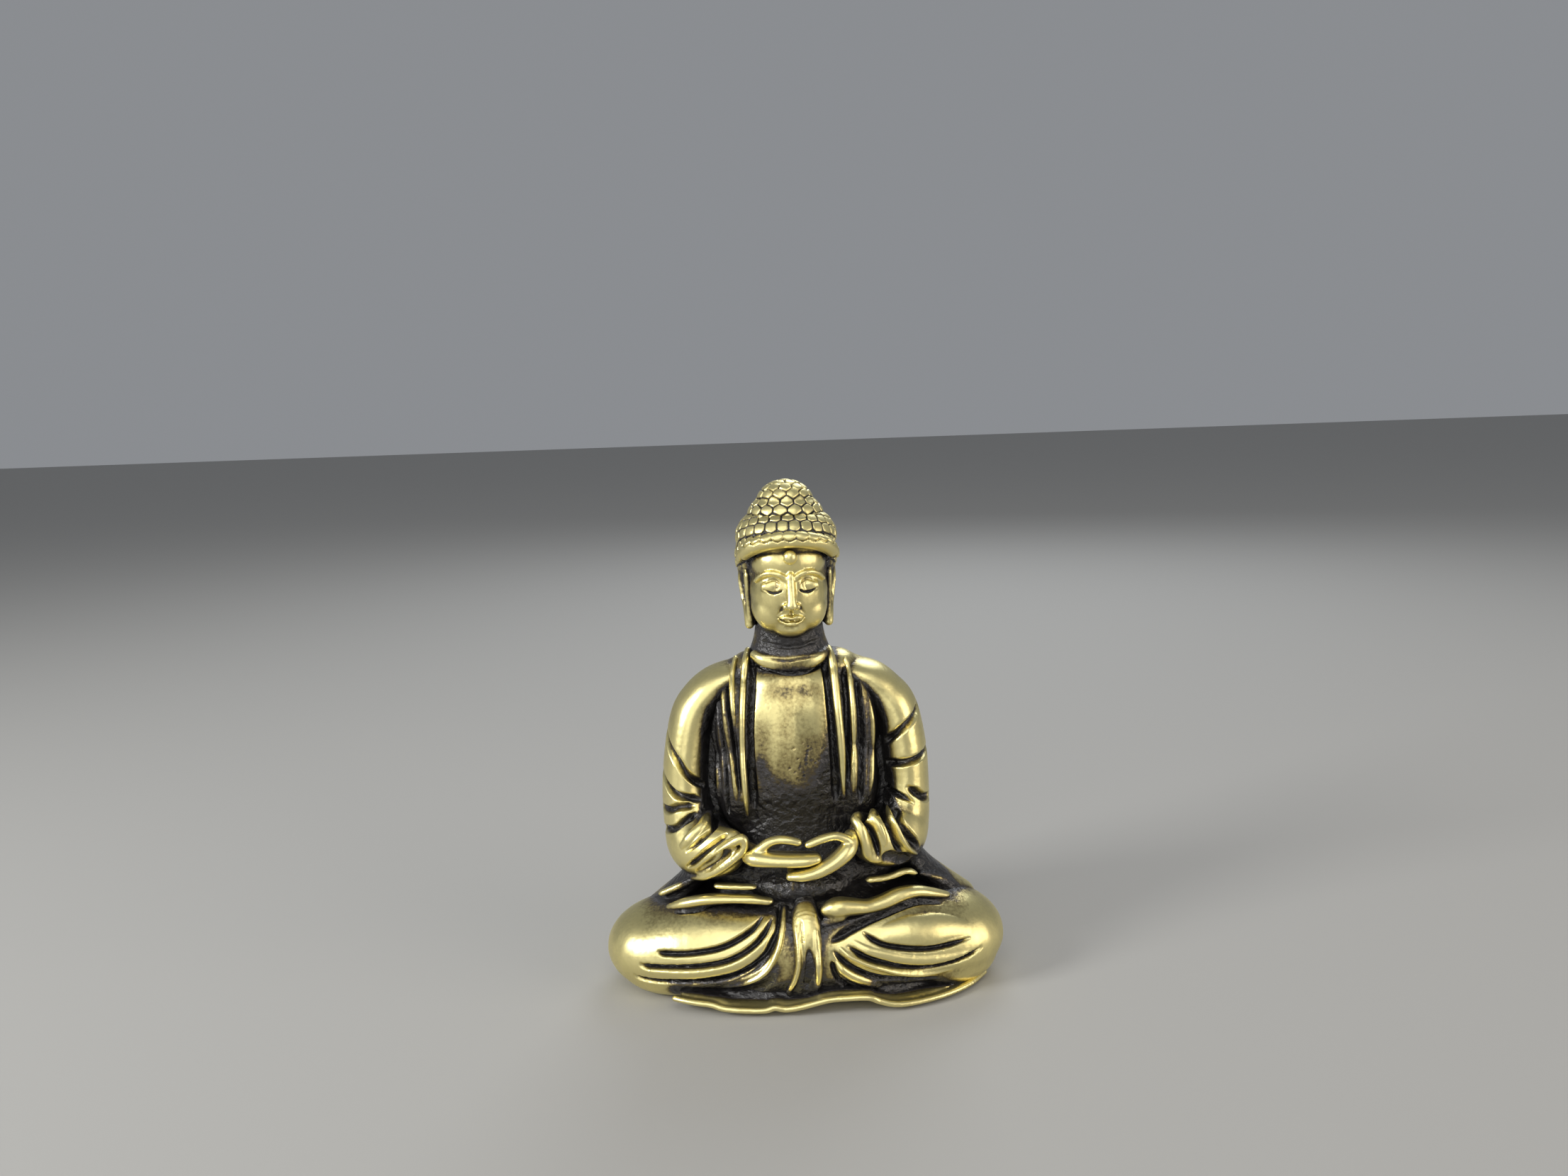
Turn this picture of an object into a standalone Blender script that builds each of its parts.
"""Seated Buddha figurine in cast brass, modelled as the sections that its casting divides into.

Metres, +Z up. The figure sits on the plane Z = 0, centred on the Z axis, and faces -Y.
"Right" and "left" are the figure's own, so its right side is at -X.
Every section is let into its neighbour with a brazing gap of 0.3 mm all round.
"""

import math

import bmesh
import bpy
from mathutils import Matrix, Vector

MM = 0.001

# Driving dimensions, in millimetres
HEIGHT = 44.0
WIDTH = 35.0
DEPTH = 22.0
GAP = 0.3              # brazing gap between sections
RING_POINTS = 28       # corners round each large section
LAP_POINTS = 40        # corners round the lap
SMALL_RING_POINTS = 12  # corners round each small section

# Places that several sections share
CHIN_Z = 30.6
NECK_SEAT_Z = 26.4     # floor of the neck socket in the torso
CROWN_Z = 41.2         # top of the skull, under the hair
TORSO_SEAT_Z = 7.2     # floor of the torso socket in the lap
KNEE_Y = -2.6          # the knees reach farthest out this far in front of the middle
HEM_RADIUS = 0.42
GROOVE_DEPTH = 0.55    # how far the fold lines bite into the robe
HEAD_TURN = math.radians(3)  # the face looks a little to the figure's left

BRASS = (0.60, 0.52, 0.27)
DARK_BRASS = (0.20, 0.17, 0.12)


def clear_scene():
    """Removes everything that the startup file holds."""
    for obj in list(bpy.data.objects):
        bpy.data.objects.remove(obj, do_unlink=True)


def brass(name, colour, roughness):
    """An aged brass surface."""
    material = bpy.data.materials.new(name)
    material.use_nodes = True
    shader = material.node_tree.nodes["Principled BSDF"]
    shader.inputs["Base Color"].default_value = (*colour, 1)
    shader.inputs["Metallic"].default_value = 1
    shader.inputs["Roughness"].default_value = roughness
    return material


def place_in_scene(name, mesh, material):
    """Links a finished mesh as one named section with smooth shading."""
    mesh.materials.append(material)
    mesh.shade_smooth()
    mesh.set_sharp_from_angle(angle=math.radians(40))
    obj = bpy.data.objects.new(name, mesh)
    bpy.context.scene.collection.objects.link(obj)
    return obj


def skin(name, rings):
    """A mesh through rings of equally many points, closed by a flat cap at each end."""
    bm = bmesh.new()
    loops = [[bm.verts.new(Vector(point) * MM) for point in ring] for ring in rings]
    count = len(loops[0])
    for low, high in zip(loops, loops[1:]):
        for i in range(count):
            j = (i + 1) % count
            bm.faces.new((low[i], low[j], high[j], high[i]))
    bm.faces.new(list(reversed(loops[0])))
    bm.faces.new(loops[-1])
    bmesh.ops.recalc_face_normals(bm, faces=bm.faces)
    mesh = bpy.data.meshes.new(name)
    bm.to_mesh(mesh)
    bm.free()
    return mesh


def level_ring(
    z, half_width, front, back, fullness=2.0, middle_x=0.0, count=RING_POINTS, widest_y=None
):
    """A level oval from y = front to y = back. A fullness over 2 squares its corners."""
    if widest_y is None:
        widest_y = (front + back) / 2
    ring = []
    for i in range(count):
        angle = 2 * math.pi * i / count
        across = math.copysign(abs(math.cos(angle)) ** (2 / fullness), math.cos(angle))
        along = abs(math.sin(angle)) ** (2 / fullness)
        reach = back - widest_y if math.sin(angle) > 0 else front - widest_y
        ring.append((middle_x + half_width * across, widest_y + reach * along, z))
    return ring


def front_of(profile, x, z):
    """The y of the front of a body at (x, z). Its profile rows are (z, half_width, front, back, fullness)."""
    fronts = []
    for _, half_width, front, _, fullness in profile:
        inside = max(0.0, 1 - abs(x / half_width) ** fullness)
        fronts.append(KNEE_Y + (front - KNEE_Y) * inside ** (1 / fullness))
    heights = [row[0] for row in profile]
    for low, high in zip(range(len(heights)), range(1, len(heights))):
        if z <= heights[high]:
            share = (z - heights[low]) / (heights[high] - heights[low])
            return fronts[low] + share * (fronts[high] - fronts[low])
    return fronts[-1]


def limb_rings(stations, count=SMALL_RING_POINTS):
    """Ovals square to a path that starts across Y. Each station is (point, half depth, half height)."""
    points = [Vector(station[0]) for station in stations]
    depthwise = Vector((0, 1, 0))
    rings = []
    for i, (_, half_depth, half_height) in enumerate(stations):
        ahead = points[min(i + 1, len(points) - 1)]
        behind = points[max(i - 1, 0)]
        forward = (ahead - behind).normalized()
        depthwise = (depthwise - forward * depthwise.dot(forward)).normalized()
        upright = depthwise.cross(forward)
        rings.append([
            points[i]
            + depthwise * half_depth * math.cos(2 * math.pi * k / count)
            + upright * half_height * math.sin(2 * math.pi * k / count)
            for k in range(count)
        ])
    return rings


def mirrored(stations):
    """The same limb on the other side of the figure."""
    return [((-x, y, z), depth, height) for (x, y, z), depth, height in stations]


def turned(mesh, angle):
    """Turns a mesh about the figure's upright axis."""
    mesh.transform(Matrix.Rotation(angle, 4, "Z"))
    return mesh


def grown_copy(obj, amount):
    """A hidden cutter: the section's bare mesh, larger by amount all round."""
    mesh = obj.data.copy()
    bm = bmesh.new()
    bm.from_mesh(mesh)
    bm.normal_update()
    moves = [vert.normal * amount * MM for vert in bm.verts]
    for vert, move in zip(bm.verts, moves):
        vert.co += move
    bm.to_mesh(mesh)
    bm.free()
    cutter = bpy.data.objects.new(f"{obj.name}_seat", mesh)
    bpy.context.scene.collection.objects.link(cutter)
    cutter.hide_render = True
    cutter.display_type = "WIRE"
    return cutter


def let_in(host, *guests):
    """Cuts a seat in host for each guest, one brazing gap larger than the guest."""
    for guest in guests:
        cut = host.modifiers.new(f"seat_for_{guest.name}", "BOOLEAN")
        cut.operation = "DIFFERENCE"
        cut.solver = "EXACT"
        cut.object = grown_copy(guest, GAP)


def groove(host, name, stations):
    """Cuts a tapered fold line into host along stations of (point, half width)."""
    rings = limb_rings([(point, GROOVE_DEPTH, half) for point, half in stations], 8)
    cutter = bpy.data.objects.new(f"{host.name}_{name}", skin(name, rings))
    bpy.context.scene.collection.objects.link(cutter)
    cutter.hide_render = True
    cutter.display_type = "WIRE"
    cut = host.modifiers.new(name, "BOOLEAN")
    cut.operation = "DIFFERENCE"
    cut.solver = "EXACT"
    cut.object = cutter


def join_to(host, name, mesh):
    """Makes a second shape one body with host."""
    part = bpy.data.objects.new(f"{name}_form", mesh)
    bpy.context.scene.collection.objects.link(part)
    part.hide_render = True
    part.display_type = "WIRE"
    union = host.modifiers.new(f"with_{name}", "BOOLEAN")
    union.operation = "UNION"
    union.solver = "EXACT"
    union.object = part


def make_lap_base(material):
    """Crossed legs and seat under the robe. Its flat underside is what the figure rests on."""
    half = WIDTH / 2
    back = DEPTH / 2
    profile = [
        (0.0, half - 2.0, -9.2, back - 2.2, 2.3),
        (0.9, half - 0.6, -9.9, back - 0.8, 2.3),
        (3.2, half, -10.0, back, 2.3),
        (5.4, half - 1.0, -9.3, back - 0.5, 2.2),
        (7.2, half - 3.4, -8.1, back - 1.2, 2.1),
        (8.8, half - 6.2, -6.6, back - 2.4, 2.0),
        (10.2, half - 9.2, -4.8, back - 4.2, 2.0),
    ]
    rings = [level_ring(*row, 0.0, LAP_POINTS, KNEE_Y) for row in profile]
    lap = place_in_scene("lap_base", skin("lap_base", rings), material)

    # Fold lines that swing from each knee to the middle, as (x, z, half width)
    right_folds = [
        [(-12.4, 4.7, 0.1), (-8.8, 4.9, 0.3), (-5.6, 5.9, 0.3), (-3.8, 6.8, 0.1)],
        [(-13.8, 3.3, 0.1), (-10.4, 3.4, 0.3), (-6.9, 4.2, 0.35), (-4.2, 5.5, 0.3), (-2.8, 6.8, 0.1)],
        [(-14.6, 1.7, 0.1), (-10.8, 1.7, 0.3), (-7.6, 2.1, 0.35), (-5.0, 3.4, 0.1)],
    ]
    left_folds = [
        [(5.6, 6.4, 0.1), (7.5, 5.1, 0.3), (10.0, 4.3, 0.3), (14.0, 4.4, 0.1)],
        [(3.8, 5.8, 0.1), (5.6, 4.3, 0.3), (8.7, 3.0, 0.35), (11.9, 2.6, 0.3), (15.2, 3.1, 0.1)],
        [(2.8, 5.4, 0.1), (3.6, 3.8, 0.3), (5.6, 2.1, 0.35), (8.4, 1.4, 0.1)],
    ]
    for number, fold in enumerate(right_folds + left_folds, 1):
        stations = [((x, front_of(profile, x, z), z), width) for x, z, width in fold]
        groove(lap, f"lap_fold_{number}", stations)
    return lap


def make_robe_hem(material):
    """The thin rim of the robe that spreads on the ground in front."""
    reach = DEPTH / 2 - HEM_RADIUS
    stations = []
    for step in range(13):
        angle = math.radians(-52 + 104 * step / 12)
        point = (15.2 * math.sin(angle), 2.0 - (reach + 2.0) * math.cos(angle), HEM_RADIUS)
        stations.append((point, HEM_RADIUS, HEM_RADIUS))
    return place_in_scene("robe_hem", skin("robe_hem", limb_rings(stations, 8)), material)


def make_front_pleats(material):
    """The fan of pleats that hangs between the shins."""
    rings = [
        level_ring(0.6, 3.1, -10.35, -8.2, 2.6, -1.2, 16),
        level_ring(2.4, 2.8, -10.3, -8.0, 2.6, -0.8, 16),
        level_ring(4.6, 2.4, -9.95, -7.8, 2.6, -0.4, 16),
        level_ring(6.2, 2.1, -9.4, -7.4, 2.6, -0.1, 16),
        level_ring(7.3, 1.8, -8.7, -7.2, 2.6, 0.0, 16),
    ]
    pleats = place_in_scene("front_pleats", skin("front_pleats", rings), material)
    for number, (top_x, foot_x) in enumerate(((-0.8, -2.3), (1.0, 0.1)), 1):
        hang = [
            ((top_x, -9.2, 6.6), 0.12),
            ((top_x, -10.0, 4.6), 0.22),
            ((foot_x, -10.35, 2.2), 0.25),
            ((foot_x, -10.45, 0.3), 0.25),
        ]
        groove(pleats, f"pleat_line_{number}", hang)
    return pleats


def make_feet(material):
    """The two soles, which lie on the opposite shins with only their upper face bare."""
    right_sole = [
        ((1.5, -7.9, 7.6), 0.35, 0.3),
        ((2.6, -7.8, 7.8), 1.0, 0.85),
        ((4.4, -7.3, 8.1), 0.95, 0.75),
        ((7.0, -6.6, 8.2), 0.9, 0.7),
        ((9.4, -5.7, 8.3), 0.8, 0.65),
        ((11.8, -4.6, 7.9), 0.35, 0.3),
    ]
    left_sole = [
        ((-3.4, -7.4, 8.0), 0.3, 0.3),
        ((-4.8, -7.1, 8.3), 0.75, 0.6),
        ((-7.2, -6.4, 8.4), 0.85, 0.65),
        ((-9.4, -5.6, 8.1), 0.75, 0.6),
        ((-11.2, -4.8, 7.6), 0.3, 0.3),
    ]
    right = place_in_scene("right_foot", skin("right_foot", limb_rings(right_sole)), material)
    left = place_in_scene("left_foot", skin("left_foot", limb_rings(left_sole)), material)
    return right, left


def make_torso(material):
    """Chest, belly and back under the robe, with a foot that plugs into the lap."""
    rings = [
        level_ring(TORSO_SEAT_Z, 7.0, -3.2, 6.4),
        level_ring(11.0, 7.4, -4.0, 7.0, 2.2),
        level_ring(16.0, 7.9, -4.7, 7.3, 2.2),
        level_ring(21.0, 8.5, -5.2, 7.0, 2.2),
        level_ring(24.4, 8.8, -4.8, 6.3, 2.2),
        level_ring(26.6, 7.4, -3.9, 5.3),
        level_ring(28.0, 5.4, -3.1, 4.3),
        level_ring(28.9, 4.0, -2.6, 3.7),
    ]
    return place_in_scene("torso", skin("torso", rings), material)


def make_sleeves(material):
    """The arms in their wide sleeves, from the shoulder round the elbow to the cuff."""
    right_arm = [
        ((-5.2, 1.0, 26.6), 1.9, 1.3),
        ((-6.9, 0.9, 25.5), 2.9, 2.2),
        ((-8.2, 0.8, 23.4), 3.3, 2.8),
        ((-8.8, 0.6, 20.4), 3.3, 2.9),
        ((-9.1, 0.2, 16.6), 3.2, 2.9),
        ((-8.8, -0.8, 13.2), 3.3, 3.1),
        ((-7.9, -3.6, 11.6), 3.1, 3.0),
        ((-6.4, -6.0, 11.4), 2.2, 2.3),
        ((-5.4, -7.0, 11.6), 1.5, 1.6),
    ]
    right_mesh = skin("right_sleeve", limb_rings(right_arm, 20))
    left_mesh = skin("left_sleeve", limb_rings(mirrored(right_arm), 20))
    right = place_in_scene("right_sleeve", right_mesh, material)
    left = place_in_scene("left_sleeve", left_mesh, material)

    # Fold lines that fan out from the crook of the elbow
    right_folds = [
        [((-11.2, -1.6, 20.8), 0.1), ((-9.9, -2.6, 18.6), 0.28), ((-8.6, -3.0, 17.0), 0.1)],
        [((-11.6, -1.2, 17.8), 0.1), ((-10.3, -2.5, 16.3), 0.28), ((-8.4, -3.2, 15.9), 0.1)],
        [((-11.4, -2.0, 14.6), 0.1), ((-9.8, -3.6, 14.2), 0.25), ((-8.0, -4.8, 14.2), 0.1)],
    ]
    left_folds = [
        [((10.7, -1.5, 22.6), 0.1), ((9.2, -2.6, 21.6), 0.28), ((8.0, -2.7, 20.2), 0.1)],
        [((11.4, -1.4, 19.6), 0.1), ((9.7, -2.6, 19.1), 0.28), ((7.9, -2.6, 18.8), 0.1)],
        [((11.6, -1.4, 15.8), 0.1), ((10.6, -2.3, 16.3), 0.28), ((9.6, -2.9, 16.8), 0.1)],
    ]
    for number, (right_fold, left_fold) in enumerate(zip(right_folds, left_folds), 1):
        groove(right, f"sleeve_fold_{number}", right_fold)
        groove(left, f"sleeve_fold_{number}", left_fold)
    return right, left


def make_hands(material):
    """The hands in the lap, right on left, palms up, with the thumbs raised to meet."""
    right_palm = [
        ((-5.2, -7.3, 12.4), 0.8, 0.55),
        ((-3.6, -8.4, 12.2), 1.3, 0.65),
        ((-0.6, -8.9, 12.2), 1.3, 0.6),
        ((1.4, -8.7, 12.3), 1.1, 0.5),
        ((2.4, -8.3, 12.5), 0.5, 0.3),
    ]
    right_thumb = [
        ((-3.7, -8.4, 12.4), 0.55, 0.5),
        ((-2.6, -8.5, 13.5), 0.5, 0.5),
        ((-1.2, -8.5, 14.0), 0.45, 0.42),
        ((-0.3, -8.4, 14.1), 0.25, 0.25),
    ]
    left_palm = [
        ((5.2, -7.2, 11.8), 0.8, 0.6),
        ((4.0, -8.2, 11.0), 1.2, 0.6),
        ((1.6, -8.8, 10.7), 1.3, 0.55),
        ((-0.8, -8.9, 10.6), 1.1, 0.45),
        ((-1.8, -8.6, 10.6), 0.5, 0.3),
    ]
    left_thumb = [
        ((4.0, -8.2, 11.2), 0.55, 0.55),
        ((3.6, -8.4, 12.9), 0.5, 0.5),
        ((2.0, -8.5, 13.9), 0.45, 0.42),
        ((0.6, -8.4, 14.1), 0.25, 0.25),
    ]
    right = place_in_scene("right_hand", skin("right_hand", limb_rings(right_palm)), material)
    join_to(right, "right_thumb", skin("right_thumb", limb_rings(right_thumb)))
    left = place_in_scene("left_hand", skin("left_hand", limb_rings(left_palm)), material)
    join_to(left, "left_thumb", skin("left_thumb", limb_rings(left_thumb)))
    return right, left


def make_lapels(material):
    """The two raised edges of the open robe, from the nape over the chest to the lap."""
    right_edge = [
        ((-3.5, -0.6, 28.9), 0.5, 0.45),
        ((-3.75, -3.0, 27.2), 0.5, 0.45),
        ((-4.1, -4.5, 24.0), 0.5, 0.45),
        ((-4.1, -5.1, 20.0), 0.5, 0.45),
        ((-4.0, -4.9, 16.4), 0.45, 0.4),
        ((-3.9, -4.7, 14.8), 0.3, 0.3),
    ]
    right_mesh = skin("right_lapel", limb_rings(right_edge, 8))
    left_mesh = skin("left_lapel", limb_rings(mirrored(right_edge), 8))
    right = place_in_scene("right_lapel", right_mesh, material)
    left = place_in_scene("left_lapel", left_mesh, material)
    return right, left


def make_robe_folds(material):
    """The fold that hangs beside each lapel, from the shoulder to the waist."""
    right_fold = [
        ((-4.9, -0.6, 28.0), 0.4, 0.35),
        ((-5.3, -2.9, 26.2), 0.45, 0.4),
        ((-5.6, -4.2, 23.2), 0.45, 0.4),
        ((-5.6, -4.7, 19.6), 0.4, 0.35),
        ((-5.4, -4.5, 16.8), 0.3, 0.25),
    ]
    right_mesh = skin("right_robe_fold", limb_rings(right_fold, 8))
    left_mesh = skin("left_robe_fold", limb_rings(mirrored(right_fold), 8))
    right = place_in_scene("right_robe_fold", right_mesh, material)
    left = place_in_scene("left_robe_fold", left_mesh, material)
    return right, left


def make_head(material):
    """Face, skull and neck. The neck's lower end is the tenon that plugs into the torso."""
    rings = [
        level_ring(NECK_SEAT_Z, 2.5, -1.6, 2.6),
        level_ring(29.8, 2.7, -1.9, 2.9),
        level_ring(CHIN_Z, 2.6, -4.2, 3.1),
        level_ring(31.8, 3.1, -4.9, 3.5),
        level_ring(34.0, 3.4, -4.9, 4.0),
        level_ring(36.6, 3.55, -4.8, 4.4),
        level_ring(38.6, 3.5, -4.6, 4.4),
        level_ring(40.2, 2.9, -3.7, 3.8),
        level_ring(CROWN_Z - 0.3, 1.7, -2.1, 2.4),
    ]
    mesh = turned(skin("head", rings), HEAD_TURN)
    return place_in_scene("head", mesh, material)


def make_urna(material):
    """The raised dot between the brows, a ball seated half its depth in the forehead."""
    bm = bmesh.new()
    bmesh.ops.create_icosphere(bm, subdivisions=2, radius=0.6 * MM)
    bmesh.ops.translate(bm, verts=bm.verts, vec=Vector((0, -4.85, 37.7)) * MM)
    mesh = bpy.data.meshes.new("urna")
    bm.to_mesh(mesh)
    bm.free()
    return place_in_scene("urna", turned(mesh, HEAD_TURN), material)


def make_ears(material):
    """The long-lobed ears."""
    made = []
    for name, side in (("right_ear", -1), ("left_ear", 1)):
        rings = [
            level_ring(31.1, 0.30, -0.6, 0.4, 2, side * 3.95, SMALL_RING_POINTS),
            level_ring(31.7, 0.42, -0.8, 0.7, 2, side * 4.05, SMALL_RING_POINTS),
            level_ring(33.2, 0.36, -0.8, 0.9, 2, side * 4.15, SMALL_RING_POINTS),
            level_ring(34.8, 0.40, -0.9, 1.3, 2, side * 4.2, SMALL_RING_POINTS),
            level_ring(36.0, 0.38, -0.7, 1.3, 2, side * 4.2, SMALL_RING_POINTS),
        ]
        mesh = turned(skin(name, rings), HEAD_TURN)
        made.append(place_in_scene(name, mesh, material))
    return made


def make_hair_cap(material):
    """The cap of curled hair, cut off along the hairline from the brow to the nape."""
    rings = [
        level_ring(30.6, 3.7, -4.9, 5.0),
        level_ring(33.0, 4.35, -5.2, 5.4),
        level_ring(36.0, 4.7, -5.4, 5.6),
        level_ring(38.4, 4.6, -5.3, 5.5),
        level_ring(40.2, 4.0, -4.6, 5.0),
        level_ring(CROWN_Z, 3.2, -3.7, 4.2),
    ]
    mesh = skin("hair_cap", rings)
    bm = bmesh.new()
    bm.from_mesh(mesh)
    brow = Vector((0, -5.3, 38.7)) * MM
    nape = Vector((0, 4.4, 32.2)) * MM
    downwards = Vector((1, 0, 0)).cross(nape - brow).normalized()
    bmesh.ops.bisect_plane(
        bm,
        geom=bm.verts[:] + bm.edges[:] + bm.faces[:],
        plane_co=brow,
        plane_no=downwards,
        clear_inner=True,
    )
    open_edges = [edge for edge in bm.edges if edge.is_boundary]
    bmesh.ops.contextual_create(bm, geom=open_edges)
    bmesh.ops.recalc_face_normals(bm, faces=bm.faces)
    bm.to_mesh(mesh)
    bm.free()
    return place_in_scene("hair_cap", turned(mesh, HEAD_TURN), material)


def make_ushnisha(material):
    """The mound of curls on the crown."""
    rings = [
        level_ring(CROWN_Z + GAP, 3.0, -3.2, 3.8),
        level_ring(42.4, 2.4, -2.5, 3.1),
        level_ring(43.4, 1.6, -1.6, 2.2),
        level_ring(HEIGHT, 0.6, -0.5, 1.1),
    ]
    mesh = turned(skin("ushnisha", rings), HEAD_TURN)
    return place_in_scene("ushnisha", mesh, material)


def main():
    clear_scene()
    rubbed = brass("rubbed_brass", BRASS, 0.32)
    aged = brass("aged_brass", DARK_BRASS, 0.5)

    lap_base = make_lap_base(rubbed)
    robe_hem = make_robe_hem(rubbed)
    front_pleats = make_front_pleats(aged)
    right_foot, left_foot = make_feet(rubbed)
    torso = make_torso(aged)
    right_sleeve, left_sleeve = make_sleeves(rubbed)
    right_hand, left_hand = make_hands(rubbed)
    right_lapel, left_lapel = make_lapels(rubbed)
    right_fold, left_fold = make_robe_folds(aged)
    head = make_head(rubbed)
    urna = make_urna(rubbed)
    right_ear, left_ear = make_ears(aged)
    hair_cap = make_hair_cap(aged)
    make_ushnisha(aged)

    let_in(lap_base, robe_hem, front_pleats, right_foot, left_foot, torso)
    let_in(lap_base, right_sleeve, left_sleeve)
    let_in(front_pleats, robe_hem, right_foot)
    let_in(torso, right_sleeve, left_sleeve, right_lapel, left_lapel, right_fold, left_fold, head)
    let_in(right_sleeve, right_hand, left_foot, right_lapel, right_fold)
    let_in(left_sleeve, left_hand, right_foot, left_lapel, left_fold)
    let_in(head, urna)
    let_in(hair_cap, head)
    let_in(right_ear, head, hair_cap)
    let_in(left_ear, head, hair_cap)


main()
